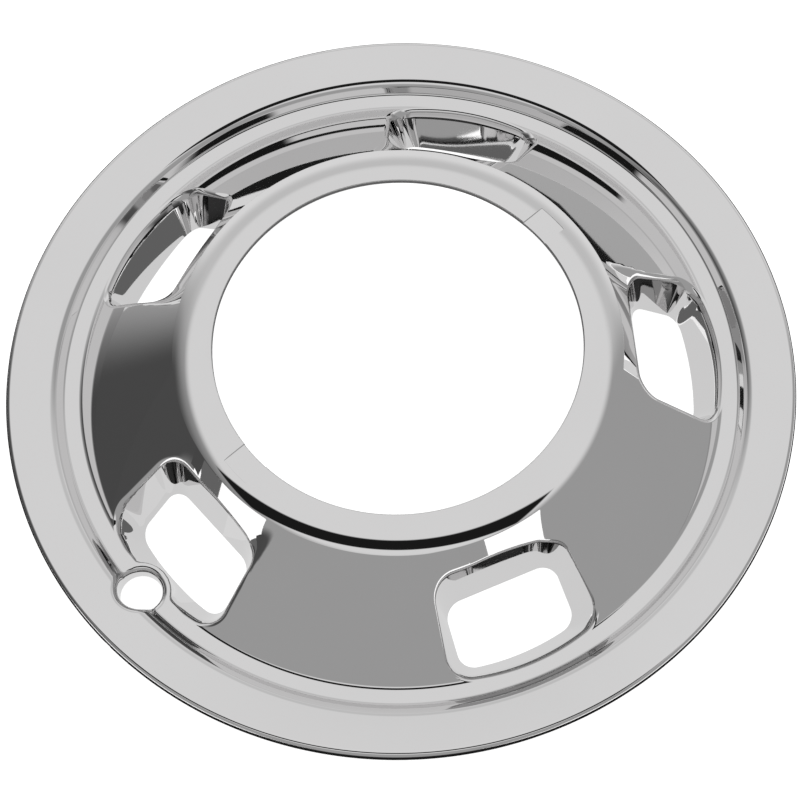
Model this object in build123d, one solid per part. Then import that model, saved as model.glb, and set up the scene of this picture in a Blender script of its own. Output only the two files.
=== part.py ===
from build123d import *
import math
import os

# Truck wheel simulator: a chrome-plated moulded skin that snaps over the face of a steel truck wheel.
# Millimetres, +Z along the wheel axis towards the outside of the truck. The valve hole lies towards -Y.

# Skin, measured on its shown face from the lip inwards
wall = 3.0                    # moulded wall thickness
lip_radius = 235.0            # outer edge of the lip
lip_depth = 5.5               # height of the lip's corner above its free edge
lip_rounding = 3.3
flange_width = 28.2           # from the lip to the turn into the step
flange_fall = 4.7
flange_rounding = 10.0
step_run = 5.2                # the step down from the flange to the trough
step_fall = 6.2
step_foot_rounding = 3.5
trough_width = 9.8
trough_fall = 1.3
web_foot_rounding = 6.0
web_run = 60.8                # the web's cone, from the trough up to its crease with the crown
web_rise = 50.9
crease_rounding = 1.5
crown_run = 7.5               # the crown, from the crease up to the flat of the hub ring
crown_rise = 4.0
crown_straight = 0.5          # straight left between the crown's rounding and the crease
hub_ring_width = 16.0         # flat of the hub ring before its edge is rounded

# Hand-hole tunnels
window_count = 5
mouth_foot_clearance = 1.3    # from the web's foot in to the tunnels' mouth
mouth_sink = 0.4              # depth of the mouth's outer edge below the trough
mouth_crease_clearance = 6.4  # from the crease out to the tunnels' mouth
mouth_outer_half_width = 49.0
mouth_inner_half_width = 39.5
mouth_corner_radius = 16.0
tunnel_depth = 23.8           # from the mouth's outer edge down to the back end's
outer_draft = 13.3            # how far the tunnel closes in from its mouth to its back end
inner_draft = 5.5
outer_side_draft = 12.9
inner_side_draft = 5.4
end_corner_radius = 11.0
tunnel_wall = 2.5
mouth_edge_rounding = 3.0

# Valve hole, on the centre line of one window
valve_foot_offset = 7.7       # from the web's foot out to the valve's axis
valve_hole_radius = 12.5
valve_sleeve_wall = 2.5
valve_sleeve_depth = 9.0      # below the trough's inner edge

# Shallow seats in the hub ring, on the valve's line and opposite
seat_width = 19.0
seat_length = 15.0            # from the hub hole outwards
seat_depth = 1.0

# Working margins of the cutting bodies
over = 10.0
below = 60.0
near = 0.1                    # how close an edge lies to the shown face
foot_rise_share = 0.3         # rise of the face inside the web's foot rounding, as a share of its radius

# Radii and heights that follow; heights are above the lip's free edge
flange_inner_radius = lip_radius - flange_width
flange_inner_height = lip_depth - flange_fall
trough_outer_radius = flange_inner_radius - step_run
trough_outer_height = flange_inner_height - step_fall
trough_inner_radius = trough_outer_radius - trough_width
trough_inner_height = trough_outer_height - trough_fall
crease_radius = trough_inner_radius - web_run
crease_height = trough_inner_height + web_rise
crown_radius = crease_radius - crown_run
hub_height = crease_height + crown_rise
hub_hole_radius = crown_radius - hub_ring_width
crown_turn = math.atan2(crown_rise, crown_run)
crown_rounding = (math.hypot(crown_rise, crown_run) - crown_straight) / math.tan(crown_turn / 2)
web_slope = math.atan2(web_rise, web_run)
embed = wall / 2

# Corners of the shown face in the (radius, height) plane, from the lip's free edge to the hub hole
face_corners = [
    (lip_radius, 0.0),
    (lip_radius, lip_depth),
    (flange_inner_radius, flange_inner_height),
    (trough_outer_radius, trough_outer_height),
    (trough_inner_radius, trough_inner_height),
    (crease_radius, crease_height),
    (crown_radius, hub_height),
    (hub_hole_radius, hub_height),
]

# Rounding of each corner, with +1 where the face is convex and -1 where it is hollow
face_roundings = [
    (lip_rounding, 1),
    (flange_rounding, 1),
    (step_foot_rounding, -1),
    (web_foot_rounding, -1),
    (crease_rounding, 1),
    (crown_rounding, 1),
]


def sunk_corners(depth):
    """The face's corners, moved in by a depth square to each stretch."""
    points = [Vector(r, h) for r, h in face_corners]
    runs = [(b - a).normalized() for a, b in zip(points, points[1:])]
    inward = [Vector(-run.Y, run.X) for run in runs]
    corners = [points[0] + inward[0] * depth]
    for i in range(1, len(runs)):
        mitre = (inward[i - 1] + inward[i]).normalized()
        corners.append(points[i] + mitre * (depth / mitre.dot(inward[i])))
    corners.append(points[-1] + inward[-1] * depth)
    return corners


def face_path(depth):
    """Edges of the shown face moved in by a depth, with its corners rounded to match."""
    corners = [(p.X, 0, p.Y) for p in sunk_corners(depth)]
    radii = [max(radius - side * depth, 0.0) for radius, side in face_roundings]
    return FilletPolyline(*corners, radius=radii)


# The skin, and the space that lies under it
outer_path = face_path(0.0)
inner_path = face_path(wall)
ends = [Edge.make_line(outer_path @ 0, inner_path @ 0), Edge.make_line(outer_path @ 1, inner_path @ 1)]
skin = revolve(make_face(outer_path.edges() + inner_path.edges() + ends), Axis.Z)

middle_path = face_path(embed)
hub_end = middle_path @ 1
lip_end = middle_path @ 0
under_line = Polyline(hub_end, (hub_end.X, 0, -below), (lip_end.X, 0, -below), lip_end)
space_under = revolve(make_face(middle_path.edges() + under_line.edges()), Axis.Z)

# Hand-hole tunnels: an outline that runs straight from the mouth to the back end, square to the web's slope
mouth_outer_radius = trough_inner_radius - mouth_foot_clearance
mouth_outer_height = trough_inner_height - mouth_sink
mouth_inner_radius = crease_radius + mouth_crease_clearance
mouth_length = (mouth_outer_radius - mouth_inner_radius) / math.cos(web_slope)
end_outer_height = mouth_outer_height - tunnel_depth
end_length = mouth_length - (outer_draft + inner_draft) / math.cos(web_slope)


def between(mouth_value, end_value, t):
    return mouth_value + (end_value - mouth_value) * t


def window_outline(t, grow):
    """Rounded window outline at a share of the way from mouth to end, grown by a wall, on its own plane."""
    outer_radius = mouth_outer_radius - outer_draft * t
    outer_height = mouth_outer_height - tunnel_depth * t
    length = between(mouth_length, end_length, t)
    outer_half = mouth_outer_half_width - outer_side_draft * t
    inner_half = mouth_inner_half_width - inner_side_draft * t
    bulge = (outer_radius - math.sqrt(outer_radius**2 - outer_half**2)) / math.cos(web_slope)
    plane = Plane(
        origin=(outer_radius, 0, outer_height),
        x_dir=(math.cos(web_slope), 0, -math.sin(web_slope)),
        z_dir=(math.sin(web_slope), 0, math.cos(web_slope)),
    )
    outer_edge = ThreePointArc((-bulge, -outer_half), (0, 0), (-bulge, outer_half))
    sides = Polyline(
        (-bulge, outer_half),
        (-length, inner_half),
        (-length, -inner_half),
        (-bulge, -outer_half),
    )
    outline = make_face(outer_edge.edges() + sides.edges())
    outline = fillet(outline.vertices(), between(mouth_corner_radius, end_corner_radius, t))
    if grow:
        outline = offset(outline, grow)
    return plane * outline


reach = over / tunnel_depth
clear_way = loft([window_outline(-reach, 0), window_outline(1 + reach, 0)], ruled=True)
tunnel_body = loft([window_outline(-reach, tunnel_wall), window_outline(1, tunnel_wall)], ruled=True)
tunnel_body = tunnel_body & space_under

window_turns = [-90 + 360 / window_count * i for i in range(window_count)]
body = skin
for turn in window_turns:
    body = body + Rot(0, 0, turn) * tunnel_body
for turn in window_turns:
    body = body - Rot(0, 0, turn) * clear_way


def on_shown_face(edge):
    """True for an edge where a tunnel wall leaves the web or the trough beside it."""
    middle = edge @ 0.5
    radius = math.hypot(middle.X, middle.Y)
    if not crease_radius + wall < radius < trough_inner_radius + wall or edge.length > 2 * mouth_length:
        return False
    web_height = trough_inner_height + math.tan(web_slope) * (trough_inner_radius - radius)
    floor = max(web_height, trough_inner_height)
    return floor - near < middle.Z < floor + foot_rise_share * web_foot_rounding


body = body.solid().fillet(mouth_edge_rounding, body.edges().filter_by(on_shown_face))

# Valve hole: a short sleeve behind the trough, on the line of the first window
valve_at = trough_inner_radius + valve_foot_offset
valve_top = lip_depth + over
valve_sleeve_end = trough_inner_height - valve_sleeve_depth
standing = (Align.CENTER, Align.CENTER, Align.MIN)
sleeve = Pos(0, -valve_at, valve_sleeve_end) * Cylinder(
    valve_hole_radius + valve_sleeve_wall, valve_top - valve_sleeve_end, align=standing
)
window_side = Pos(0, 0, trough_inner_height - embed) * Cylinder(
    trough_inner_radius, valve_top - trough_inner_height, align=standing
)
body = body + ((sleeve & space_under) - window_side)
body = body - Pos(0, -valve_at, -below) * Cylinder(valve_hole_radius, valve_top + below, align=standing)

# Shallow seats in the hub ring
for side in (-1, 1):
    seat_middle = hub_hole_radius + (seat_length - over) / 2
    body = body - Pos(0, side * seat_middle, hub_height - seat_depth) * Box(
        seat_width, seat_length + over, over, align=standing
    )

# The part rests on the tunnels' back ends
rest_lift = tunnel_wall * math.sin(web_slope) - end_outer_height
body = Pos(0, 0, rest_lift) * body

os.makedirs("parts", exist_ok=True)
export_step(body, "parts/wheel_simulator.step")
print("volume", body.volume, "valid", body.is_valid, "solids", len(body.solids()), "box", body.bounding_box())
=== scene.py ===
import math
from typing import NamedTuple

import bpy
import numpy as np
from mathutils import Matrix, Vector
from mathutils.geometry import delaunay_2d_cdt


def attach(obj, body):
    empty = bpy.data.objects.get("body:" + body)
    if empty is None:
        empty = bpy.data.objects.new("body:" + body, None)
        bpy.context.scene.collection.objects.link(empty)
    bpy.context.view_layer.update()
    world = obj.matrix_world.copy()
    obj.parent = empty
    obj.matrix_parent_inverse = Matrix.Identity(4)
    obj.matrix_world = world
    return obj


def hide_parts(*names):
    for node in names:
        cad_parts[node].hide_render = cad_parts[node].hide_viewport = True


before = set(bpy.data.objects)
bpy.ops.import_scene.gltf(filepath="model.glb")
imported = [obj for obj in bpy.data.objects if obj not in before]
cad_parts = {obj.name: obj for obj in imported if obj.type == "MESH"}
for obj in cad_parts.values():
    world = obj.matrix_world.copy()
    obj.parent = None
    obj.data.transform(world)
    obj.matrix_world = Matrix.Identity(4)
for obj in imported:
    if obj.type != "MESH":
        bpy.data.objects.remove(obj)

bl_info = {
    "name": "Truck wheel simulator",
    "version": (1, 0, 0),
    "blender": (4, 5, 0),
    "location": "View3D > Sidebar > Simulator",
    "description": "Builds a chrome wheel simulator skin and its studio",
    "category": "Object",
}

MM = 0.001
WINDOWS = 5
FIFTH = 2 * math.pi / WINDOWS

# Rows and points of the skin's mesh
FACE_STEPS = (9, 1, 4, 30, 8, 3, 8, 3, 10, 3)  # in each stretch of the face, from crown to flange
LIP_STEPS = (9, 3)  # in the lip's rounding and its wall
HOLE_EDGE_STEPS = 5
OUTLINE_STEPS = 14  # in each curve of half a window's outline, and along half its hub side
SIDE_STEPS = 12  # along a window's straight side
EDGE_STEPS = 8
TUNNEL_STEPS = 6
VALVE_POINTS = 72
VALVE_RIM_STEPS = 9
SLEEVE_STEPS = 4
CREASE_PIECE = 3  # the crease's rounding among the profile's lines and arcs

# Distances that the skin's mesh is laid out by, in millimetres
MEAN_RADIUS = 160.0  # radius at which the face is unrolled, about the middle of the web
SEAT_EDGE = 0.08  # half the run of a seat's wall
RING_ROWS = (3.5, 6.5, 9.5, 12.5)  # rows of the hub ring, out from the hub hole
RING_END = 0.8  # last row of the hub ring, out from the seats' end
CROWN_START = 1.4  # the face's grid starts past this, out from the seats' end
VALVE_CLEAR = 20.0  # rows past this, out from the valve's axis, run whole round the wheel
LOOP_CLEAR = 0.9  # grid points nearer than this to a cut are left out
VALVE_GROUND = (19.0, 24.0)  # from the valve's axis: level up to the first, all web from the second
FOOT_BAND = (-1.8, 4.2)  # from the web's foot: the level ground comes in between these
OUTER_BAND = (-23.8, -7.8)  # from the web's foot: the outer edge's deeper rounding comes in between these
SHIELD_SOFTNESS = 2.0  # how softly the tunnel wall turns to bow round the valve hole
SHIELD_FADE = (6.0, 14.0)  # the bow fades out between these, out from the shield
SHIELD_EDGE_FADE = (3.0, 12.0)  # the narrow edge beside the valve widens between these, likewise
JOINED = 1e-6  # points nearer than this would become one

# Shares of a tunnel's length, from its mouth to its back end
MOUTH_SEARCH = 0.6  # the mouth lies within this of the outline's start
EDGE_PROBE = 0.05  # reach over which the wall's direction at the mouth is taken
WALL_PROBE = 0.02  # half the reach over which its direction further down is taken
MOUTH_HALVINGS = 50  # steps of the search for the mouth

WINDOW_BLOCK = math.radians(26.4)  # half the turn of the block of the face that a window is cut from
LEVEL_NORMAL = 0.9  # the hub ring's rows are level where their normals rise above this
BACK_NORMALS = (-0.02, -0.10)  # the plating turns into the dull back, whose darkness is partly painted shade, between these rises of the normal

# The studio's light, by rise of the direction or by its likeness to a turn round the wheel
BACK_TURN = math.radians(82.0)
BACK_SPREAD = (0.52, 0.80)
BACK_RISE = (0.65, 0.30)
FLAG_TURN = math.radians(172.0)
FLAG_SPREAD = (0.79, 0.96)
FLAG_RISE = (0.85, 0.45)
CEILING_RISE = (0.72, 0.84)

# The black card under the ceiling, by slopes of the direction across and along the camera's view
CARD_SKEW = 0.13
CARD_NEAR = (-0.49, -0.45)
CARD_FAR = (-0.07, -0.12)
CARD_LEFT = (-0.92, -0.86)
CARD_RIGHT = (0.62, 0.57)
CARD_RISE = (0.3, 0.4)

# Tones and turns that several cards share
BLACK = 0.012
GREY = 0.45
PALE = 0.80
BEND = math.radians(14.7)
ASLANT = math.radians(25.5)
LAYER = 0.0001  # height of one layer of cards on the floor, in metres
RING_POINTS = 96

SENSOR = 36.0  # width of the camera's sensor, in millimetres
NEAREST = 0.01  # nearest that the camera sees, in metres


class StandingCard(NamedTuple):
    """A card that stands on the floor, across the line from the wheel to its middle.

    Places are in metres, right of and away from the camera. A fade is two distances along the card from its
    middle and the tone before the first of them.
    """

    name: str
    tone: float
    middle: tuple
    width: float
    height: float
    fade: tuple = ()


class FloorRing(NamedTuple):
    """A flat ring that lies on the floor round the wheel axis, in metres."""

    name: str
    tone: float
    inner: float
    outer: float
    layer: int = 5


class FloorCard(NamedTuple):
    """A card that lies on the floor, turned about the wheel axis with its place, in metres."""

    name: str
    tone: float
    middle: tuple
    width: float
    depth: float
    turn: float = 0.0
    layer: int = 3


STANDING_CARDS = (
    StandingCard("left_card", 0.075, (-0.59, 0.125), 0.75, 0.12, fade=(-0.30, -0.09, 0.38)),
    StandingCard("rear_left_card", BLACK, (-0.27, 0.53), 0.45, 0.04),
    StandingCard("front_card", 0.38, (-0.03, -0.70), 0.74, 0.12),
)
FLOOR_RINGS = (
    # Black ring round the lip that only the chrome sees: painted shadow of the wheel on the floor
    FloorRing("painted_shadow_ring", BLACK, 0.19, 0.38),
    # Grey ring under the windows that only the chrome sees: painted half-shade on the floor beneath the
    # skin, lit only by light through the windows
    FloorRing("half_shaded_under_ring", 0.75, 0.135, 0.19),
)
FLOOR_CARDS = (
    # Dark card under the hub that only the chrome sees: painted shade on the floor beneath the hub
    FloorCard("shaded_under_hub", 0.14, (0.0, 0.0), 0.24, 0.24),
    # Pale card under the valve hole that only the chrome sees: painted pool of light falling through the
    # valve hole onto the shaded floor
    FloorCard("lit_under_valve", PALE, (-0.157, -0.123), 0.06, 0.06, layer=9),
    FloorCard("rear_bend", BLACK, (0.198, 0.3425), 0.296, 0.10, BEND, layer=7),
    FloorCard("rear_near", GREY, (0.23, 0.252), 0.26, 0.081, BEND, layer=8),
    FloorCard("front_floor", 0.08, (-0.06, -0.53), 0.36, 0.34),
    FloorCard("rear_floor", BLACK, (0.80, 0.3165), 1.0, 0.188, ASLANT, layer=6),
    FloorCard("right_floor", GREY, (0.80, 0.10), 1.0, 0.264, ASLANT, layer=4),
    FloorCard("left_floor", 0.15, (-0.58, 0.06), 0.40, 0.50),
    FloorCard("back_floor", PALE, (0.0, 1.6), 6.0, 3.0),
)


def length(name, default, description):
    """A length property in metres, given in millimetres."""
    return bpy.props.FloatProperty(
        name=name, description=description, default=default * MM, unit="LENGTH", precision=5
    )


def count(name, default, description):
    """A whole number property."""
    return bpy.props.IntProperty(name=name, description=description, default=default, min=1)


def number(name, default, description):
    """A plain number property."""
    return bpy.props.FloatProperty(name=name, description=description, default=default)


def angle_of(name, default, description):
    """An angle property, given in degrees."""
    return bpy.props.FloatProperty(
        name=name, description=description, default=math.radians(default), subtype="ANGLE"
    )


def factor(name, default, description):
    """A property between 0 and 1."""
    return bpy.props.FloatProperty(
        name=name, description=description, default=default, subtype="FACTOR", min=0.0, max=1.0
    )


def colour(name, default, description):
    """A colour property."""
    return bpy.props.FloatVectorProperty(
        name=name, description=description, default=default, subtype="COLOR", size=3, min=0.0, max=1.0
    )


class SkinSizes(bpy.types.PropertyGroup):
    """Sizes of the moulded skin, as in the solid."""

    wall: length("Wall", 3.0, "Moulded wall thickness")
    lip_radius: length("Lip radius", 235.0, "Outer edge of the lip")
    lip_depth: length("Lip depth", 5.5, "Height of the lip's corner above its free edge")
    lip_rounding: length("Lip rounding", 3.3, "Rounding of the lip's corner")
    flange_width: length("Flange width", 28.2, "From the lip to the turn into the step")
    flange_fall: length("Flange fall", 4.7, "Fall of the flange towards the step")
    flange_rounding: length("Flange rounding", 10.0, "Rounding from the flange into the step")
    step_run: length("Step run", 5.2, "Width of the step down to the trough")
    step_fall: length("Step fall", 6.2, "Height of the step")
    step_foot_rounding: length("Step foot", 3.5, "Hollow rounding at the foot of the step")
    trough_width: length("Trough width", 9.8, "Width of the trough")
    trough_fall: length("Trough fall", 1.3, "Fall of the trough towards the web")
    web_foot_rounding: length("Web foot", 6.0, "Hollow rounding at the foot of the web")
    web_run: length("Web run", 60.8, "Width of the web's cone")
    web_rise: length("Web rise", 50.9, "Height of the web's cone")
    crease_rounding: length("Crease rounding", 1.5, "Rounding of the crease between web and crown")
    crown_run: length("Crown run", 7.5, "Width of the crown before it is rounded")
    crown_rise: length("Crown rise", 4.0, "Height of the crown before it is rounded")
    crown_straight: length("Crown straight", 0.5, "Straight between the crown's rounding and the crease")
    hub_ring_width: length("Hub ring width", 16.0, "Flat of the hub ring before its edge is rounded")
    hole_edge_rounding: length("Hole edge", 0.8, "Rounding of the hub hole's edge")
    rest_lift: length("Rest lift", 32.5048, "Height of the lip's free edge above the floor")
    columns: count("Columns", 90, "Columns of faces in each fifth of the skin")


class WindowSizes(bpy.types.PropertyGroup):
    """Sizes of the hand-hole tunnels, the valve hole and the seats."""

    foot_clearance: length("Foot clearance", 1.3, "From the web's foot in to the tunnels' mouth")
    sink: length("Sink", 0.4, "Depth of the mouth's outer edge below the trough")
    crease_clearance: length("Crease clearance", 6.4, "From the crease out to the tunnels' mouth")
    outer_half: length("Outer half width", 49.0, "Half width of the mouth at its outer side")
    inner_half: length("Inner half width", 39.5, "Half width of the mouth at its hub side")
    corner: length("Corner", 16.0, "Corner radius of the mouth")
    depth: length("Depth", 23.8, "From the mouth's outer edge down to the back end's")
    outer_draft: length("Outer draft", 13.3, "Closing in of the outer side from mouth to end")
    inner_draft: length("Inner draft", 5.5, "Closing in of the hub side from mouth to end")
    outer_side_draft: length("Outer side draft", 12.9, "Closing in of the outer half width")
    inner_side_draft: length("Inner side draft", 5.4, "Closing in of the inner half width")
    end_corner: length("End corner", 11.0, "Corner radius of the back end")
    wall: length("Tunnel wall", 2.5, "Wall thickness of the tunnels")
    edge: length("Edge rounding", 3.0, "Reach of the rounded edge to each side")
    outer_edge: length("Outer edge", 6.5, "Reach of the rounded edge down the tunnel's outer side")
    lead_ahead: length("Lead-in ahead", 36.0, "From the window's middle to the lead-in's sharp end")
    lead_behind: length("Lead-in behind", 24.0, "From the window's middle to the lead-in's soft end")
    lead_rise: length("Lead-in rise", 9.3, "Rise of the lead-in from the tunnel wall to the crease")
    lead_run: length("Lead-in run", 6.2, "Width of the lead-in")
    lead_fold: length("Lead-in fold", 8.0, "Half width of the fold at the lead-in's sharp end")
    lead_soft: length("Lead-in soft fold", 14.0, "Half width of the fold at the lead-in's soft end")
    lead_edge: length("Lead-in edge", 1.5, "Reach of the rounded edge at the lead-in")
    valve_offset: length("Valve offset", 7.7, "From the web's foot out to the valve's axis")
    valve_radius: length("Valve hole radius", 12.5, "Radius of the valve hole")
    valve_rim: length("Valve rim", 4.0, "Rounding of the valve hole's rim")
    valve_shield: length("Valve shield", 18.2, "Radius of the tunnel wall that bows round the valve hole")
    valve_edge: length("Valve side edge", 1.3, "Reach of the rounded edge beside the valve hole")
    valve_depth: length("Valve depth", 9.0, "Depth of the valve sleeve below the trough")
    seat_width: length("Seat width", 19.0, "Width of the shallow seats in the hub ring")
    seat_length: length("Seat length", 15.0, "Length of the seats from the hub hole")
    seat_depth: length("Seat depth", 1.0, "Depth of the seats")


class PlatingLook(bpy.types.PropertyGroup):
    """Colours and haze of the chrome plating."""

    dark_tone: colour("Dark tone", (0.769, 0.763, 0.765), "Plating where its clouds are darkest")
    light_tone: colour("Light tone", (0.799, 0.794, 0.795), "Plating where its clouds are lightest")
    # The back's tone is partly the dull unplated back and partly painted shade for the shadow under the
    # skin
    dull_shaded_back_tone: colour("Back tone", (0.05, 0.05, 0.05), "The dull back of the skin")
    least_haze: factor("Least haze", 0.015, "Roughness of the plating where it is clearest")
    most_haze: factor("Most haze", 0.035, "Roughness of the plating where it is haziest")
    back_haze: factor("Back haze", 0.35, "Roughness of the dull back")
    clouds: number("Clouds", 14.0, "Clouds of haze in each metre")
    cloud_detail: number("Cloud detail", 3.0, "Finer clouds laid over the coarse ones")


class StudioLook(bpy.types.PropertyGroup):
    """Camera, floor and light."""

    azimuth: angle_of("Azimuth", 52.0, "Camera turn round the wheel")
    elevation: angle_of("Elevation", 65.03, "Camera height angle")
    roll: angle_of("Roll", 3.53, "Camera roll")
    distance: length("Distance", 1400.0, "Camera distance from the lip's centre")
    scale: number("Scale", 2.095, "Picture widths per metre at the lip's centre")
    offset_right: length("Offset right", -0.18, "Lip centre right of the picture's middle")
    offset_up: length("Offset up", 13.42, "Lip centre above the picture's middle")
    floor_size: length("Floor size", 12000.0, "Side of the floor")
    floor_tone: colour("Floor tone", (0.8, 0.8, 0.8), "Colour of the floor")
    floor_glow: factor("Floor glow", 0.95, "Brightness that the floor has of its own")
    low_back_light: factor("Low back light", 0.84, "Brightness behind the wheel, low down")
    high_back_light: factor("High back light", 0.63, "Brightness behind the wheel, high up")
    side_light: factor("Side light", 0.385, "Brightness of the sides and the front")
    flag: factor("Flag", 0.078, "Brightness of the dark flag on the left")
    ceiling: factor("Ceiling", 0.80, "Brightness of the ceiling")


class Profile:
    """The shown face in the (radius, height) plane, from the hub hole out to the lip, in millimetres."""

    def __init__(self, skin):
        self.mm = {name: getattr(skin, name) / MM for name in skin.__annotations__ if name != "columns"}
        m = self.mm
        flange = m["lip_radius"] - m["flange_width"]
        step = flange - m["step_run"]
        self.trough_inner = step - m["trough_width"]
        self.crease = self.trough_inner - m["web_run"]
        crown = self.crease - m["crown_run"]
        self.hole = crown - m["hub_ring_width"]
        lift = m["rest_lift"]
        lip_top = lift + m["lip_depth"]
        flange_z = lip_top - m["flange_fall"]
        step_z = flange_z - m["step_fall"]
        self.trough_z = step_z - m["trough_fall"]
        crease_z = self.trough_z + m["web_rise"]
        self.hub_z = crease_z + m["crown_rise"]
        self.slope = math.atan2(m["web_rise"], m["web_run"])
        turn = math.atan2(m["crown_rise"], m["crown_run"])
        crown_length = math.hypot(m["crown_rise"], m["crown_run"]) - m["crown_straight"]
        corners = [
            (self.hole, self.hub_z, 0.0),
            (crown, self.hub_z, crown_length / math.tan(turn / 2)),
            (self.crease, crease_z, m["crease_rounding"]),
            (self.trough_inner, self.trough_z, m["web_foot_rounding"]),
            (step, step_z, m["step_foot_rounding"]),
            (flange, flange_z, m["flange_rounding"]),
            (m["lip_radius"], lip_top, m["lip_rounding"]),
            (m["lip_radius"], lift, 0.0),
        ]
        self.pieces = self.rounded(corners)
        self.crease_start = self.pieces[CREASE_PIECE][0]

    @staticmethod
    def rounded(corners):
        """Lines and arcs through corners with roundings: start, end, arc centre, arc radius and side."""
        pieces = []
        start = np.array(corners[0][:2])
        for before, at, after in zip(corners, corners[1:], corners[2:]):
            corner = np.array(at[:2])
            into = unit(corner - np.array(before[:2]))
            out = unit(np.array(after[:2]) - corner)
            turn = math.atan2(into[0] * out[1] - into[1] * out[0], into @ out)
            reach = at[2] * math.tan(abs(turn) / 2)
            first = corner - into * reach
            last = corner + out * reach
            side = math.copysign(1.0, turn)
            centre = first + side * at[2] * np.array((-into[1], into[0]))
            pieces.append((start, first, None, 0.0, 0.0))
            pieces.append((first, last, centre, at[2], side))
            start = last
        pieces.append((start, np.array(corners[-1][:2]), None, 0.0, 0.0))
        return pieces

    def height(self, radius):
        """Height of the face over a radius, inside the lip's rounding."""
        pieces = self.pieces[:-2]
        which = np.searchsorted([piece[1][0] for piece in pieces[:-1]], radius)
        z = np.zeros_like(radius)
        for index, (start, end, centre, size, side) in enumerate(pieces):
            if centre is None:
                value = start[1] + (radius - start[0]) * (end[1] - start[1]) / (end[0] - start[0])
            else:
                value = centre[1] - side * np.sqrt(np.maximum(size**2 - (radius - centre[0]) ** 2, 0.0))
            z = np.where(which == index, value, z)
        return z

    def samples(self, index, steps):
        """Points and outward normals along one piece, from its hub end to its lip end."""
        start, end, centre, size, side = self.pieces[index]
        share = np.linspace(0.0, 1.0, steps + 1)[:, None]
        if centre is None:
            along = unit(end - start)
            points = start + share * (end - start)
            return points, np.tile((-along[1], along[0]), (steps + 1, 1))
        first = math.atan2(*(start - centre)[::-1])
        last = math.atan2(*(end - centre)[::-1])
        swing = (last - first + math.pi) % (2 * math.pi) - math.pi
        angle = first + share * swing
        ray = np.hstack((np.cos(angle), np.sin(angle)))
        return centre + size * ray, -side * ray

    def face_radii(self):
        """Radii of the shown face's rows, from the crown out to the lip's rounding."""
        radii = []
        for index, steps in enumerate(FACE_STEPS, 1):
            points, _ = self.samples(index, steps)
            radii.extend(points[:-1, 0])
        return np.array(radii + [points[-1, 0]])

    def hub_rows(self):
        """Radius, height and normal of the rows round the hub hole's edge, from below up to the flat."""
        edge = self.mm["hole_edge_rounding"]
        bottom = self.hub_z - self.mm["wall"]
        third = (self.mm["wall"] - edge) / 3
        rows = [(self.hole, bottom, -1.0, 0.0), (self.hole, bottom + third, -1.0, 0.0)]
        for angle in np.linspace(0.0, math.pi / 2, HOLE_EDGE_STEPS + 1):
            nr, nz = -math.cos(angle), math.sin(angle)
            rows.append((self.hole + edge * (1 + nr), self.hub_z - edge * (1 - nz), nr, nz))
        return rows


def unit(vectors):
    """Vectors brought to length one."""
    return vectors / np.maximum(np.linalg.norm(vectors, axis=-1, keepdims=True), 1e-12)


def turned(points, angle):
    """Points turned about the wheel axis."""
    c, s = math.cos(angle), math.sin(angle)
    x, y, z = np.moveaxis(points, -1, 0)
    return np.stack((c * x - s * y, s * x + c * y, z), axis=-1)


def smooth_step(low, high, value):
    """Soft step from 0 at low to 1 at high."""
    share = np.clip((value - low) / (high - low), 0.0, 1.0)
    return share * share * (3 - 2 * share)


def smooth_fall(band, value):
    """Soft step from 1 at a band's start to 0 at its end."""
    return smooth_step(band[1], band[0], value)


class Face:
    """The shown face over one fifth of the skin, with the window's middle on +X, in millimetres."""

    def __init__(self, profile, window, valve):
        self.profile = profile
        self.valve = valve
        self.mm = {name: getattr(window, name) / MM for name in window.__annotations__}
        self.valve_at = profile.trough_inner + self.mm["valve_offset"]

    def height(self, x, y):
        """Height of the face over a place."""
        m = self.mm
        radius = np.hypot(x, y)
        z = self.profile.height(radius)
        top_radius, top_z = self.profile.crease_start
        lead = top_z - (radius - top_radius) * m["lead_rise"] / m["lead_run"]
        z = z - self.lead_share(x, y) * np.maximum(z - lead, 0.0) * (radius > top_radius)
        if self.valve:
            near = smooth_fall(VALVE_GROUND, np.hypot(x - self.valve_at, y))
            inside = smooth_fall(FOOT_BAND, radius - self.profile.trough_inner)
            z = z - near * inside * np.maximum(z - self.profile.trough_z, 0.0)
        return z

    def lead_share(self, x, y):
        """How far a place lies on the lead-in at the mouth's hub side: 0 off it, 1 on it."""
        m = self.mm
        ahead = smooth_step(m["lead_ahead"] + m["lead_fold"], m["lead_ahead"] - m["lead_fold"], y)
        behind = smooth_step(m["lead_behind"] + m["lead_soft"], m["lead_behind"] - m["lead_soft"], -y)
        return ahead * behind * (x < MEAN_RADIUS)

    def normal(self, x, y):
        """Normal of the face over a place."""
        nudge = 0.005
        dx = (self.height(x + nudge, y) - self.height(x - nudge, y)) / (2 * nudge)
        dy = (self.height(x, y + nudge) - self.height(x, y - nudge)) / (2 * nudge)
        return unit(np.stack((-dx, -dy, np.ones_like(dx)), axis=-1))

    def placed(self, x, y):
        """Points of the face over places."""
        return np.stack((x, y, self.height(x, y)), axis=-1)


def arc_points(centre, size, first, last, steps):
    """Points and rays of an arc, without its last point."""
    angle = np.linspace(first, last, steps, endpoint=False)
    ray = np.stack((np.cos(angle), np.sin(angle)), axis=-1)
    return np.array(centre) + size * ray, ray


def line_points(first, last, normal, steps):
    """Points and normals of a straight stretch, without its last point."""
    share = np.linspace(0.0, 1.0, steps, endpoint=False)[:, None]
    return first + share * (last - first), np.tile(normal, (steps, 1))


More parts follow.
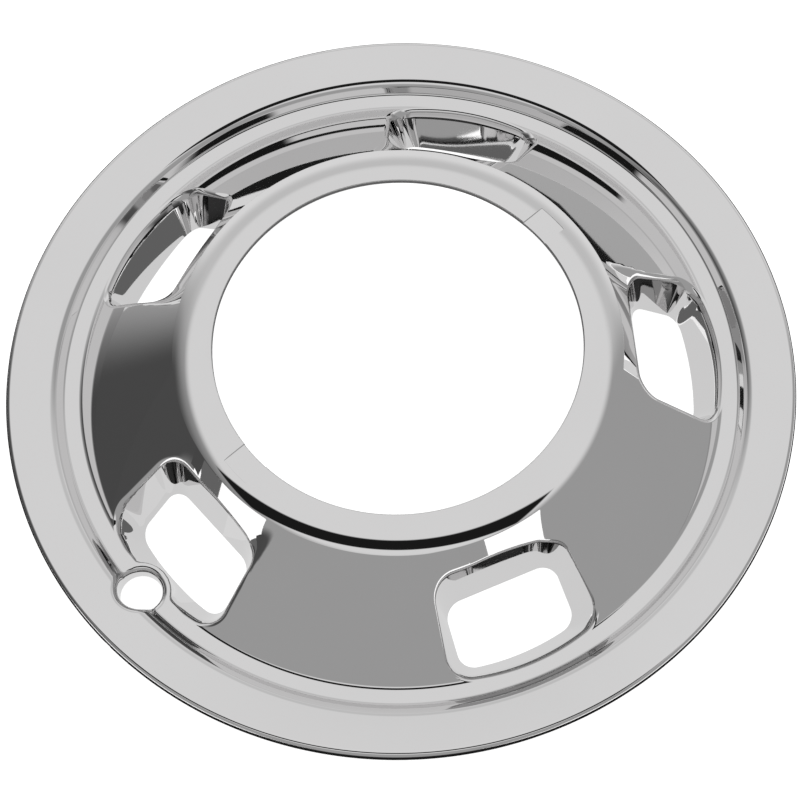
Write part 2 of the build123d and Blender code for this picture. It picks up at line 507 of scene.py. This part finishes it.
def window_outline(face, t):
    """Points and outward directions of a window's outline at a share of the way from mouth to end."""
    m = face.mm
    profile = face.profile
    cos, sin = math.cos(profile.slope), math.sin(profile.slope)
    outer_radius = profile.trough_inner - m["foot_clearance"] - m["outer_draft"] * t
    outer_z = profile.trough_z - m["sink"] - m["depth"] * t
    inner_radius = profile.crease + m["crease_clearance"] + m["inner_draft"] * t
    reach = (outer_radius - inner_radius) / cos
    outer_half = m["outer_half"] - m["outer_side_draft"] * t
    inner_half = m["inner_half"] - m["inner_side_draft"] * t
    corner = m["corner"] + (m["end_corner"] - m["corner"]) * t
    bulge = (outer_radius - math.sqrt(outer_radius**2 - outer_half**2)) / cos
    bow = (bulge**2 + outer_half**2) / (2 * bulge)
    bow_centre = np.array((-bow, 0.0))
    start = np.array((-bulge, outer_half))
    side = unit(np.array((-reach, inner_half)) - start)
    inward = np.array((-side[1], side[0]))
    offset = start + inward * corner - bow_centre
    half_b = offset @ side
    s = -half_b - math.sqrt(half_b**2 - offset @ offset + (bow - corner) ** 2)
    outer_centre = start + inward * corner + s * side
    s = (-reach + corner - start[0] - inward[0] * corner) / side[0]
    inner_centre = start + inward * corner + s * side
    bow_end = math.atan2(*(outer_centre - bow_centre)[::-1])
    side_angle = math.atan2(-inward[1], -inward[0])
    hub_middle = np.array((-reach, 0.0))
    hub_way = np.array((-1.0, 0.0))
    stretches = [
        arc_points(bow_centre, bow, 0.0, bow_end, OUTLINE_STEPS),
        arc_points(outer_centre, corner, bow_end, side_angle, OUTLINE_STEPS),
        line_points(outer_centre - inward * corner, inner_centre - inward * corner, -inward, SIDE_STEPS),
        arc_points(inner_centre, corner, side_angle, math.pi, OUTLINE_STEPS),
        line_points(np.array((-reach, inner_centre[1])), hub_middle, hub_way, OUTLINE_STEPS),
    ]
    points = np.vstack([stretch[0] for stretch in stretches] + [hub_middle])
    normals = np.vstack([stretch[1] for stretch in stretches] + [hub_way])
    mirror = np.array((1.0, -1.0))
    points = np.vstack((points, points[-2:0:-1] * mirror))
    normals = np.vstack((normals, normals[-2:0:-1] * mirror))
    u, v = points.T
    placed = np.stack((outer_radius + u * cos, v, outer_z - u * sin), axis=-1)
    outward = np.stack((normals[:, 0] * cos, normals[:, 1], -normals[:, 0] * sin), axis=-1)
    return placed, outward


def around(values):
    """Central differences round a closed loop, along the second last axis."""
    return np.roll(values, -1, axis=-2) - np.roll(values, 1, axis=-2)


def conic(first, corner, last, steps):
    """Rows of points that round a corner, from a first to a last loop, and their steps from row to row."""
    into, out = unit(corner - first), unit(last - corner)
    turn = np.arccos(np.clip((into * out).sum(axis=-1), -1.0, 1.0))
    weight = np.cos(turn / 2)[:, None]
    rows, ways = [], []
    for s in np.linspace(0.0, 1.0, steps + 1):
        a, b, c = (1 - s) ** 2, 2 * weight * s * (1 - s), s**2
        da, db, dc = 2 * (s - 1), 2 * weight * (1 - 2 * s), 2 * s
        row = (a * first + b * corner + c * last) / (a + b + c)
        rows.append(row)
        ways.append((da * first + db * corner + dc * last - (da + db + dc) * row) / (a + b + c) / steps)
    return np.array(rows), np.array(ways)


def strip_normals(rows, ways, first_normals):
    """Normals of rows of loops, turned to the side of the first loop's normals."""
    normals = unit(np.cross(ways, around(rows)))
    side = np.sign((normals[1] * first_normals).sum(axis=-1).mean())
    normals = normals * side
    normals[0] = first_normals
    return normals


def pushed_from_valve(face, points):
    """Tunnel wall points, bowed clear of the valve hole."""
    if not face.valve:
        return points
    axis = np.array((face.valve_at, 0.0))
    apart = points[..., :2] - axis
    d = np.linalg.norm(apart, axis=-1, keepdims=True)
    past = d - face.mm["valve_shield"]
    far = d + (np.sqrt(past**2 + SHIELD_SOFTNESS**2) - past) / 2
    moved = points.copy()
    moved[..., :2] = axis + apart * (far / d)
    return points + smooth_fall(SHIELD_FADE, past) * (moved - points)


class Tunnel:
    """One tunnel's wall, straight from its mouth's outline to its end's, bowed clear of the valve hole."""

    def __init__(self, face):
        self.face = face
        self.mouth, self.outward = window_outline(face, 0.0)
        self.end, _ = window_outline(face, 1.0)

    def at(self, t):
        """Points at shares of the way from the mouth's outline to the end's."""
        return pushed_from_valve(self.face, self.mouth + (self.end - self.mouth) * t[:, None])

    def mouth_shares(self):
        """Shares of the way at which the wall meets the shown face."""
        low = np.full(len(self.mouth), -MOUTH_SEARCH)
        high = -low
        for _ in range(MOUTH_HALVINGS):
            middle = (low + high) / 2
            points = self.at(middle)
            above = points[:, 2] > self.face.height(points[:, 0], points[:, 1])
            low, high = np.where(above, middle, low), np.where(above, high, middle)
        return low


def edge_reaches(face, corner):
    """Reaches of a window's rounded edge, on to the shown face and down the tunnel."""
    m = face.mm
    reach = np.full((len(corner), 1), m["edge"])
    if face.valve:
        past = np.hypot(corner[:, 0] - face.valve_at, corner[:, 1]) - m["valve_shield"]
        reach = m["valve_edge"] + (reach - m["valve_edge"]) * smooth_step(*SHIELD_EDGE_FADE, past)[:, None]
    lead = face.lead_share(corner[:, 0], corner[:, 1])[:, None]
    reach = reach + lead * (m["lead_edge"] - reach)
    outer = smooth_step(*OUTER_BAND, corner[:, 0] - face.profile.trough_inner)[:, None]
    return reach, reach * (1 + outer * (m["outer_edge"] / m["edge"] - 1))


def window_strip(face):
    """Points, normals and backs of loops from the shown face over the rounded edge and down the tunnel."""
    tunnel = Tunnel(face)
    mouth_share = tunnel.mouth_shares()
    corner = tunnel.at(mouth_share)
    face_normal = face.normal(corner[:, 0], corner[:, 1])
    wall_way = unit(tunnel.at(mouth_share + EDGE_PROBE) - corner)
    across = unit(np.cross(face_normal, unit(around(corner))))
    across = across * np.sign((across * tunnel.outward).sum(axis=-1))[:, None]
    reach, down = edge_reaches(face, corner)
    first = corner + across * reach
    first = face.placed(first[:, 0], first[:, 1])
    rows, ways = conic(first, corner, corner + wall_way * down, EDGE_STEPS)
    start = mouth_share + down[:, 0] / np.linalg.norm(tunnel.end - tunnel.mouth, axis=-1)
    for share in np.linspace(0.0, 1.0, TUNNEL_STEPS + 1)[1:]:
        t = start + share * (1 - start)
        rows = np.vstack((rows, tunnel.at(t)[None]))
        ways = np.vstack((ways, (tunnel.at(t + WALL_PROBE) - tunnel.at(t - WALL_PROBE))[None]))
    normals = strip_normals(rows, ways, face.normal(rows[0, :, 0], rows[0, :, 1]))
    blend = np.clip(np.arange(len(rows)) / EDGE_STEPS, 0.0, 1.0)[:, None, None]
    backs = (1 - blend) * (rows - normals * face.profile.mm["wall"])
    backs = backs + blend * (rows + tunnel.outward[None] * face.mm["wall"])
    return rows, normals, backs


def valve_strip(face):
    """Points, normals and backs of loops from the shown face over the valve's rim and down its sleeve."""
    m = face.mm
    angle = np.linspace(0.0, 2 * math.pi, VALVE_POINTS, endpoint=False)
    ray = np.stack((np.cos(angle), np.sin(angle)), axis=-1)
    centre = np.array((face.valve_at, 0.0))
    rows = []
    for turn in np.linspace(0.0, math.pi / 2, VALVE_RIM_STEPS + 1):
        place = centre + ray * (m["valve_radius"] + m["valve_rim"] * (1 - math.sin(turn)))
        drop = m["valve_rim"] * (1 - math.cos(turn))
        rows.append(face.placed(place[:, 0], place[:, 1]) - np.array((0.0, 0.0, drop)))
    top = rows[-1]
    bottom = top.copy()
    bottom[:, 2] = face.profile.trough_z - m["valve_depth"]
    for share in np.linspace(0.0, 1.0, SLEEVE_STEPS + 1)[1:]:
        rows.append(top + share * (bottom - top))
    rows = np.array(rows)
    normals = strip_normals(rows, np.gradient(rows, axis=0), face.normal(rows[0, :, 0], rows[0, :, 1]))
    return rows, normals, rows - normals * m["wall"]


class Sheet:
    """The skin's shown side as it is laid down: points, normals, backs and faces, in millimetres."""

    def __init__(self):
        self.parts = []
        self.size = 0
        self.quads = []
        self.open_quads = []
        self.triangles = []

    def add(self, points, normals, backs, sunk=None):
        """Lays down points and gives their numbers."""
        shape = points.shape[:-1]
        if sunk is None:
            sunk = np.zeros(shape, bool)
        flat = [values.reshape(-1, 3) for values in (points, normals, backs)]
        self.parts.append((*flat, sunk.ravel()))
        first = self.size
        self.size += int(np.prod(shape))
        return np.arange(first, self.size).reshape(shape)

    def band(self, ids, closed, backed=True):
        """Faces between rows of numbers."""
        lower, upper = ids[:-1], ids[1:]
        if closed:
            after = [np.roll(lower, -1, axis=1), np.roll(upper, -1, axis=1)]
        else:
            after = [lower[:, 1:], upper[:, 1:]]
            lower, upper = lower[:, :-1], upper[:, :-1]
        quads = np.stack((lower, after[0], after[1], upper), axis=-1).reshape(-1, 4)
        (self.quads if backed else self.open_quads).append(quads)

    def gathered(self):
        """All points, normals, backs and sunk marks."""
        return [np.concatenate(column) for column in zip(*self.parts)]


def inside_loop(x, y, loop):
    """True for places inside a closed loop."""
    inside = np.zeros(x.shape, bool)
    for (ax, ay), (bx, by) in zip(loop, np.roll(loop, -1, axis=0)):
        crosses = (ay > y) != (by > y)
        where = ax + (y - ay) / (by - ay if by != ay else 1.0) * (bx - ax)
        inside ^= crosses & (x < where)
    return inside


def lay_block(sheet, block, x, y, loops):
    """Triangles of a block of the face's grid, with loops cut out of it."""
    keep = np.ones(block.shape, bool)
    for loop, _ in loops:
        apart = np.hypot(x[..., None] - loop[:, 0], y[..., None] - loop[:, 1])
        keep &= ~inside_loop(x, y, loop) & (apart.min(axis=-1) > LOOP_CLEAR)
    keep[[0, -1], :] = True
    keep[:, [0, -1]] = True
    numbers = list(block[keep])
    places = list(zip(x[keep], y[keep]))
    order = {number: i for i, number in enumerate(numbers)}
    edge = [*block[0, :], *block[1:, -1], *block[-1, -2::-1], *block[-2:0:-1, 0]]
    edges = [(order[a], order[b]) for a, b in zip(edge, edge[1:] + edge[:1])]
    for loop, loop_ids in loops:
        base = len(numbers)
        numbers.extend(loop_ids)
        places.extend(loop)
        edges.extend((base + k, base + (k + 1) % len(loop)) for k in range(len(loop)))
    flat = [Vector((math.hypot(a, b), MEAN_RADIUS * math.atan2(b, a))) for a, b in places]
    made, _, triangles, origin, _, _ = delaunay_2d_cdt(flat, edges, [], 0, JOINED)
    if len(made) != len(places):
        raise RuntimeError("the triangulation of the face added or joined points")
    source = np.array([o[0] for o in origin])
    triangles = source[np.array(triangles)]
    middle = np.array(places)[triangles].mean(axis=1)
    outside = np.ones(len(triangles), bool)
    for loop, _ in loops:
        outside &= ~inside_loop(middle[:, 0], middle[:, 1], loop)
    sheet.triangles.append(np.array(numbers)[triangles[outside]])


class Ring:
    """Full turns of points round the wheel axis, bent aside where they cross the seats' edges."""

    def __init__(self, profile, window, columns):
        self.profile = profile
        self.half = window.seat_width / MM / 2
        self.end = profile.hole + window.seat_length / MM
        self.depth = window.seat_depth / MM
        self.columns = WINDOWS * columns

    def row(self, radius, z, nr, nz, seats):
        """Points, normals, backs and sunk marks of one turn."""
        step = np.arange(self.columns)
        pitch = 2 * math.pi / self.columns
        angle = step * pitch
        sunk = np.zeros(self.columns, bool)
        if seats:
            from_seat = (step + self.columns // 4) % (self.columns // 2) - self.columns // 4
            edge = round(self.half / radius / pitch)
            for beside, shift in ((edge, -SEAT_EDGE), (edge + 1, SEAT_EDGE)):
                for side in (-1, 1):
                    bent = side * math.asin((self.half + shift) / radius)
                    angle = np.where(from_seat == side * beside, angle + bent - from_seat * pitch, angle)
            sunk = (abs(from_seat) <= edge) & (radius < self.end)
        ray = np.stack((np.cos(angle - math.pi / 2), np.sin(angle - math.pi / 2)), axis=-1)
        up = np.ones((self.columns, 1))
        points = np.hstack((radius * ray, z * up))
        normals = np.hstack((nr * ray, nz * up))
        backs = points - normals * self.profile.mm["wall"]
        hub_z = self.profile.hub_z
        if nz > LEVEL_NORMAL:
            points[sunk, 2] = hub_z - self.depth
            normals[sunk] = (0.0, 0.0, 1.0)
        elif z > hub_z - self.profile.mm["hole_edge_rounding"] - SEAT_EDGE:
            points[sunk, 2] -= self.depth
        return points, normals, backs, sunk


class Grid:
    """The shown face's grid over one fifth, in rows out from the hub ring, in millimetres."""

    def __init__(self, profile, ring, columns):
        radii = profile.face_radii()
        self.radii = radii[radii > ring.end + CROWN_START]
        self.columns = columns
        self.steps = np.arange(-columns // 2, columns // 2 + 1)
        angle = self.steps * FIFTH / columns
        self.x = self.radii[:, None] * np.cos(angle)
        self.y = self.radii[:, None] * np.sin(angle)

    def place(self, sector, steps):
        """Columns of the whole turn on which steps of a fifth stand."""
        return (sector * self.columns + steps) % (WINDOWS * self.columns)


def lay_hub(sheet, profile, ring, face):
    """Points of the hub hole's edge and of the hub ring, with the faces of the edge."""
    hub_ids = np.array([sheet.add(*ring.row(*row, True)) for row in profile.hub_rows()])
    last = ring.end + RING_END
    radii = [profile.hole + reach for reach in RING_ROWS]
    ring_ids = []
    for radius in (*radii, ring.end - SEAT_EDGE, ring.end + SEAT_EDGE, last):
        z = profile.height(np.array(radius))
        normal = face.normal(np.array(radius), np.array(0.0))
        ring_ids.append(sheet.add(*ring.row(radius, z, normal[0], normal[2], radius < last)))
    ring_ids = np.array(ring_ids)
    sheet.band(np.vstack((hub_ids, ring_ids[:1])), True, backed=False)
    return hub_ids, ring_ids


def lay_face(sheet, profile, grid, sectors):
    """Points of the shown face, fifth by fifth: their numbers, in rows whole round the wheel."""
    ids = np.zeros((len(grid.radii), WINDOWS * grid.columns), int)
    for sector, (face, turn) in enumerate(sectors):
        points = turned(face.placed(grid.x, grid.y), turn)[:, :-1]
        normals = turned(face.normal(grid.x, grid.y), turn)[:, :-1]
        laid = sheet.add(points, normals, points - normals * profile.mm["wall"])
        ids[:, grid.place(sector, grid.steps[:-1])] = laid
    return ids


def lay_windows(sheet, grid, sectors, ids):
    """Tunnels and valve hole, with the face round and between them: the rims at their back ends."""
    x, y = grid.x[: len(ids)], grid.y[: len(ids)]
    half = round(WINDOW_BLOCK / FIFTH * grid.columns)
    middle = abs(grid.steps) <= half
    rims = []
    for sector, (face, turn) in enumerate(sectors):
        strips = [window_strip(face)]
        if face.valve:
            strips.append(valve_strip(face))
        loops = []
        for rows, normals, backs in strips:
            strip_ids = sheet.add(turned(rows, turn), turned(normals, turn), turned(backs, turn))
            sheet.band(strip_ids, True)
            rims.append(strip_ids[-1])
            loops.append((rows[0, :, :2], strip_ids[0]))
        block = ids[:, grid.place(sector, grid.steps[middle])]
        lay_block(sheet, block, x[:, middle], y[:, middle], loops)
        beside = np.arange(half, grid.columns - half + 1)
        sheet.band(ids[:, grid.place(sector, beside)], False)
    return rims


def lay_lip(sheet, profile, ring, flange_ids):
    """The lip, out from the flange's last row: the numbers of its free edge."""
    rows = [flange_ids]
    for index, steps in enumerate(LIP_STEPS, len(FACE_STEPS) + 1):
        points, normals = profile.samples(index, steps)
        for (radius, z), (nr, nz) in zip(points[1:], normals[1:]):
            rows.append(sheet.add(*ring.row(radius, z, nr, nz, False)))
    sheet.band(np.array(rows), True)
    return rows[-1]


def build_sheet(skin, window):
    """The shown side, the rims where it turns to its back, and the two rows that close the hub hole."""
    profile = Profile(skin)
    sheet = Sheet()
    ring = Ring(profile, window, skin.columns)
    grid = Grid(profile, ring, skin.columns)
    faces = [Face(profile, window, sector == 0) for sector in range(WINDOWS)]
    sectors = [(face, sector * FIFTH - math.pi / 2) for sector, face in enumerate(faces)]
    hub_ids, ring_ids = lay_hub(sheet, profile, ring, faces[-1])
    ids = lay_face(sheet, profile, grid, sectors)
    sheet.band(np.vstack((ring_ids, ids[:1])), True)
    whole = int(np.searchsorted(grid.radii, faces[0].valve_at + VALVE_CLEAR))
    sheet.band(ids[whole:], True)
    rims = lay_windows(sheet, grid, sectors, ids[: whole + 1])
    rims.append(lay_lip(sheet, profile, ring, ids[-1]))
    return sheet, rims, hub_ids[0], ring_ids[0]


def square_normals(points, shape):
    """Normals of faces, from their diagonals."""
    one = points[shape[:, 2]] - points[shape[:, 0]]
    other = points[shape[:, -1]] - points[shape[:, 1]]
    return unit(np.cross(one, other))


def rim_normals(points, shape):
    """Corner normals of rim faces, all turned downwards."""
    square = square_normals(points, shape)
    square = square * np.where(square[:, 2] > 0, -1.0, 1.0)[:, None]
    return np.repeat(square[:, None], 4, axis=1)


def closed_skin(skin, window):
    """Points in metres, faces and corner normals of the closed skin."""
    sheet, rims, hole_edge, hole_back = build_sheet(skin, window)
    points, normals, backs, sunk = sheet.gathered()
    size = len(points)
    both = np.vstack((points, backs))
    faces, corners = [], []

    def lay(shape, corner_normals, flat=None):
        """Lays faces, turned to their corner normals; those marked flat take their own normal."""
        square = square_normals(both, shape)
        if flat is not None:
            side = np.sign((square * corner_normals.sum(axis=1)).sum(axis=-1))[:, None]
            corner_normals = np.where(flat[:, None, None], (square * side)[:, None], corner_normals)
        wrong = (square * corner_normals.sum(axis=1)).sum(axis=-1) < 0
        shape = np.where(wrong[:, None], shape[:, ::-1], shape)
        corner_normals = np.where(wrong[:, None, None], corner_normals[:, ::-1], corner_normals)
        faces.extend(shape.tolist())
        corners.append(corner_normals.reshape(-1, 3))

    for group, backed in ((sheet.quads, True), (sheet.open_quads, False), (sheet.triangles, True)):
        shape = np.concatenate(group)
        marks = sunk[shape]
        seat_walls = marks.any(axis=1) & ~marks.all(axis=1)
        lay(shape, normals[shape], seat_walls)
        if backed:
            lay(shape + size, -normals[shape])
    for rim in rims:
        after = np.roll(rim, -1)
        shape = np.stack((rim, after, after + size, rim + size), axis=-1)
        lay(shape, rim_normals(both, shape))
    after, back_after = np.roll(hole_edge, -1), np.roll(hole_back, -1)
    shape = np.stack((hole_edge, after, back_after + size, hole_back + size), axis=-1)
    lay(shape, np.tile((0.0, 0.0, -1.0), (len(shape), 4, 1)))
    used = np.zeros(len(both), bool)
    for face in faces:
        used[face] = True
    number = np.cumsum(used) - 1
    faces = [[int(number[i]) for i in face] for face in faces]
    return both[used] * MM, faces, np.vstack(corners)


def linked(tree, kind, settings=None, **inputs):
    """A node with settings made and inputs linked or set; i and a number names an input by its place."""
    node = tree.nodes.new(kind)
    for name, value in (settings or {}).items():
        setattr(node, name, value)
    for name, value in inputs.items():
        socket = node.inputs[int(name[1:])] if name[0] == "i" and name[1:].isdigit() else node.inputs[name]
        if isinstance(value, bpy.types.NodeSocket):
            tree.links.new(value, socket)
        else:
            socket.default_value = value
    return node


def soft_share(tree, value, start, end, start_value=0.0, end_value=1.0):
    """Socket of a soft step from one value to another as an input goes from start to end."""
    ends = {"From Min": start, "From Max": end, "To Min": start_value, "To Max": end_value}
    node = linked(tree, "ShaderNodeMapRange", {"interpolation_type": "SMOOTHSTEP"}, Value=value, **ends)
    return node.outputs["Result"]


def chrome(plating):
    """Bright plating with a faint haze that comes and goes, dull on the hidden back and darkened there with
    painted shade.
    """
    material = bpy.data.materials.new("chrome_plating")
    material.use_nodes = True
    tree = material.node_tree
    shader = tree.nodes["Principled BSDF"]
    place = tree.nodes.new("ShaderNodeTexCoord").outputs["Object"]
    cloud = linked(
        tree, "ShaderNodeTexNoise", Vector=place, Scale=plating.clouds, Detail=plating.cloud_detail
    ).outputs["Fac"]
    hazes = {"To Min": plating.least_haze, "To Max": plating.most_haze}
    haze = linked(tree, "ShaderNodeMapRange", Value=cloud, **hazes)
    tone = linked(tree, "ShaderNodeValToRGB", Fac=cloud)
    tone.color_ramp.elements[0].color = (*plating.dark_tone, 1.0)
    tone.color_ramp.elements[1].color = (*plating.light_tone, 1.0)
    normal = tree.nodes.new("ShaderNodeNewGeometry").outputs["True Normal"]
    rise = linked(tree, "ShaderNodeSeparateXYZ", Vector=normal).outputs["Z"]
    # Faces turned downwards take the dark back tone: partly the dull unplated back, partly painted shade
    # where light does not reach
    backs = {"From Min": BACK_NORMALS[0], "From Max": BACK_NORMALS[1]}
    hidden = linked(tree, "ShaderNodeMapRange", Value=rise, **backs).outputs["Result"]
    dull_shaded_back_tone = (*plating.dull_shaded_back_tone, 1.0)
    colours = linked(
        tree, "ShaderNodeMix", {"data_type": "RGBA"}, i0=hidden, i6=tone.outputs["Color"], i7=dull_shaded_back_tone
    )
    gloss = linked(tree, "ShaderNodeMix", i0=hidden, i2=haze.outputs["Result"], i3=plating.back_haze)
    tree.links.new(gloss.outputs[0], shader.inputs["Roughness"])
    tree.links.new(colours.outputs[2], shader.inputs["Base Color"])
    shader.inputs["Metallic"].default_value = 1.0
    return material


class BuildSkin(bpy.types.Operator):
    """Build the chrome skin in place of the solid's mesh"""

    bl_idname = "simulator.build_skin"
    bl_label = "Build skin"

    def execute(self, context):
        scene = context.scene
        points, faces, corners = closed_skin(scene.simulator_skin, scene.simulator_window)
        mesh = bpy.data.meshes.new("wheel_skin")
        mesh.from_pydata(points.tolist(), [], faces)
        piece = bpy.data.objects.new("wheel_skin", mesh)
        scene.collection.objects.link(piece)
        bpy.ops.object.select_all(action="DESELECT")
        piece.select_set(True)
        context.view_layer.objects.active = piece
        bpy.ops.object.shade_smooth()
        mesh.normals_split_custom_set(corners.tolist())
        mesh.materials.append(chrome(scene.simulator_plating))
        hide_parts("wheel_simulator")
        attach(piece, "root")
        return {"FINISHED"}


def studio_world(look):
    """Soft light from above and behind, darker sides, a dark flag and a black card under the ceiling."""
    world = bpy.data.worlds.new("studio")
    world.use_nodes = True
    tree = world.node_tree
    way = tree.nodes.new("ShaderNodeTexCoord").outputs["Generated"]
    turned_way = linked(
        tree, "ShaderNodeVectorRotate", {"rotation_type": "Z_AXIS"}, Vector=way, Angle=-look.azimuth
    )
    x, y, z = linked(tree, "ShaderNodeSeparateXYZ", Vector=turned_way.outputs["Vector"]).outputs

    def compute(operation, a, b=0.0):
        """Socket of an operation on one or two values."""
        return linked(tree, "ShaderNodeMath", {"operation": operation}, i0=a, i1=b).outputs[0]

    def times(a, b):
        """Socket of a product."""
        return compute("MULTIPLY", a, b)

    def blend(share, a, b):
        """Socket of a value that goes from a to b as a share goes from 0 to 1."""
        return compute("ADD", a, times(share, compute("SUBTRACT", b, a)))

    level = compute("SQRT", compute("ADD", times(x, x), times(y, y)))

    def towards(azimuth):
        """Socket of the likeness of the direction's turn to an azimuth, 1 where they agree."""
        parts = compute("ADD", times(x, math.cos(azimuth)), times(y, math.sin(azimuth)))
        return compute("DIVIDE", parts, level)

    back_light = blend(soft_share(tree, z, *BACK_RISE), look.high_back_light, look.low_back_light)
    light = blend(soft_share(tree, towards(BACK_TURN), *BACK_SPREAD), look.side_light, back_light)
    flag = times(soft_share(tree, towards(FLAG_TURN), *FLAG_SPREAD), soft_share(tree, z, *FLAG_RISE))
    light = blend(flag, light, look.flag)
    light = blend(soft_share(tree, z, *CEILING_RISE), light, look.ceiling)
    across = compute("DIVIDE", x, z)
    along = compute("ADD", compute("DIVIDE", y, z), times(across, CARD_SKEW))
    card = soft_share(tree, z, *CARD_RISE)
    for slope, side in ((along, CARD_FAR), (along, CARD_NEAR), (across, CARD_LEFT), (across, CARD_RIGHT)):
        card = times(card, soft_share(tree, slope, *side))
    light = blend(card, light, BLACK)
    tree.links.new(light, tree.nodes["Background"].inputs["Color"])
    return world


def glowing(name, base, tone, strength):
    """A matt material that glows evenly, and its shader."""
    material = bpy.data.materials.new(name)
    material.use_nodes = True
    shader = material.node_tree.nodes["Principled BSDF"]
    shader.inputs["Base Color"].default_value = (*base, 1.0)
    shader.inputs["Roughness"].default_value = 1.0
    shader.inputs["Specular IOR Level"].default_value = 0.0
    shader.inputs["Emission Color"].default_value = (tone, tone, tone, 1.0)
    shader.inputs["Emission Strength"].default_value = strength
    return material, shader


def mirror_only(context, card, turn, fade=None):
    """Turns the active object about the wheel axis and leaves it as a matt card that only mirrors see.

    A fade is a direction, the distances along it where it starts and ends, and the tone it starts from.
    """
    piece = context.object
    piece.name = card.name
    piece.rotation_euler.z += turn
    piece.location.rotate(Matrix.Rotation(turn, 3, "Z"))
    bpy.ops.object.transform_apply()
    material, shader = glowing(card.name, (0.0, 0.0, 0.0), card.tone, 1.0)
    if fade:
        way, start, end, start_tone = fade
        tree = material.node_tree
        place = tree.nodes.new("ShaderNodeTexCoord").outputs["Object"]
        along = linked(tree, "ShaderNodeVectorMath", {"operation": "DOT_PRODUCT"}, i0=place, i1=way)
        tone = soft_share(tree, along.outputs["Value"], start, end, start_tone, card.tone)
        tree.links.new(tone, shader.inputs["Emission Color"])
    piece.data.materials.append(material)
    piece.visible_camera = False
    piece.visible_diffuse = False
    piece.visible_shadow = False


def stand_card(context, look, card):
    """Stands a card on the floor."""
    bpy.ops.object.select_all(action="DESELECT")
    facing = math.atan2(card.middle[1], card.middle[0]) + math.pi / 2
    bpy.ops.mesh.primitive_plane_add(
        size=1.0, location=(*card.middle, card.height / 2), rotation=(math.pi / 2, 0.0, facing)
    )
    context.object.scale = (card.width, card.height, 1.0)
    fade = None
    if card.fade:
        way = facing + look.azimuth
        fade = ((math.cos(way), math.sin(way), 0.0), *card.fade)
    mirror_only(context, card, look.azimuth, fade)


def lay_ring(context, look, ring):
    """Lays a flat ring on the floor."""
    bpy.ops.object.select_all(action="DESELECT")
    middle = (0.0, 0.0, ring.layer * LAYER)
    bpy.ops.mesh.primitive_circle_add(vertices=RING_POINTS, radius=ring.outer, location=middle)
    bpy.ops.object.mode_set(mode="EDIT")
    bpy.ops.mesh.select_all(action="SELECT")
    bpy.ops.mesh.extrude_edges_move()
    share = ring.inner / ring.outer
    bpy.ops.transform.resize(value=(share, share, 1.0), center_override=middle)
    bpy.ops.object.mode_set(mode="OBJECT")
    mirror_only(context, ring, look.azimuth)


def lay_card(context, look, card):
    """Lays a card on the floor."""
    bpy.ops.object.select_all(action="DESELECT")
    bpy.ops.mesh.primitive_plane_add(size=1.0, location=(*card.middle, card.layer * LAYER))
    context.object.scale = (card.width, card.depth, 1.0)
    mirror_only(context, card, look.azimuth + card.turn)


def lay_floor(context, look):
    """Lays the plain pale floor."""
    bpy.ops.object.select_all(action="DESELECT")
    bpy.ops.mesh.primitive_plane_add(size=look.floor_size, location=(0.0, 0.0, 0.0))
    floor = context.object
    floor.name = "floor"
    material, _ = glowing("floor", look.floor_tone, 1.0, look.floor_glow)
    floor.data.materials.append(material)


def camera_frame(look):
    """Right, up and back directions of the camera."""
    a, e, r = look.azimuth, look.elevation, look.roll
    back = Vector((math.sin(a) * math.cos(e), -math.cos(a) * math.cos(e), math.sin(e)))
    level = Vector((math.cos(a), math.sin(a), 0.0))
    up = back.cross(level)
    right = math.cos(r) * level - math.sin(r) * up
    return right, math.sin(r) * level + math.cos(r) * up, back


def place_camera(context, look, lip_height):
    """Places the camera over the wheel, looking at the lip's centre."""
    right, up, back = camera_frame(look)
    bpy.ops.object.camera_add()
    camera = context.object
    camera.data.sensor_width = SENSOR
    camera.data.lens = look.scale * look.distance * SENSOR
    camera.data.clip_start = NEAREST
    place = Vector((0.0, 0.0, lip_height)) + back * look.distance
    place = place - right * look.offset_right - up * look.offset_up
    camera.matrix_world = Matrix.Translation(place) @ Matrix((right, up, back)).transposed().to_4x4()
    context.scene.camera = camera


class BuildStudio(bpy.types.Operator):
    """Build the floor, the light, the cards and the camera"""

    bl_idname = "simulator.build_studio"
    bl_label = "Build studio"

    def execute(self, context):
        scene = context.scene
        look = scene.simulator_look
        lay_floor(context, look)
        scene.world = studio_world(look)
        for card in STANDING_CARDS:
            stand_card(context, look, card)
        for ring in FLOOR_RINGS:
            lay_ring(context, look, ring)
        for card in FLOOR_CARDS:
            lay_card(context, look, card)
        place_camera(context, look, scene.simulator_skin.rest_lift)
        scene.view_settings.view_transform = "Standard"
        return {"FINISHED"}


class SimulatorPanel(bpy.types.Panel):
    """Sidebar panel with the sizes, the looks and the build buttons"""

    bl_idname = "VIEW3D_PT_simulator"
    bl_label = "Truck wheel simulator"
    bl_space_type = "VIEW_3D"
    bl_region_type = "UI"
    bl_category = "Simulator"

    def draw(self, context):
        layout = self.layout
        for name in GROUPS:
            group = getattr(context.scene, name)
            box = layout.box()
            for entry in group.__annotations__:
                box.prop(group, entry)
        layout.operator(BuildSkin.bl_idname)
        layout.operator(BuildStudio.bl_idname)


GROUPS = {
    "simulator_skin": SkinSizes,
    "simulator_window": WindowSizes,
    "simulator_plating": PlatingLook,
    "simulator_look": StudioLook,
}
CLASSES = (*GROUPS.values(), BuildSkin, BuildStudio, SimulatorPanel)


def register():
    """Registers the classes and gives the scene its property groups."""
    for cls in CLASSES:
        bpy.utils.register_class(cls)
    for name, group in GROUPS.items():
        setattr(bpy.types.Scene, name, bpy.props.PointerProperty(type=group))


def unregister():
    """Takes the property groups and the classes away again."""
    for name in GROUPS:
        delattr(bpy.types.Scene, name)
    for cls in reversed(CLASSES):
        bpy.utils.unregister_class(cls)


def main():
    """Builds the skin and the studio."""
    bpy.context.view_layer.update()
    register()
    bpy.ops.simulator.build_skin()
    bpy.ops.simulator.build_studio()


if __name__ == "__main__":
    main()
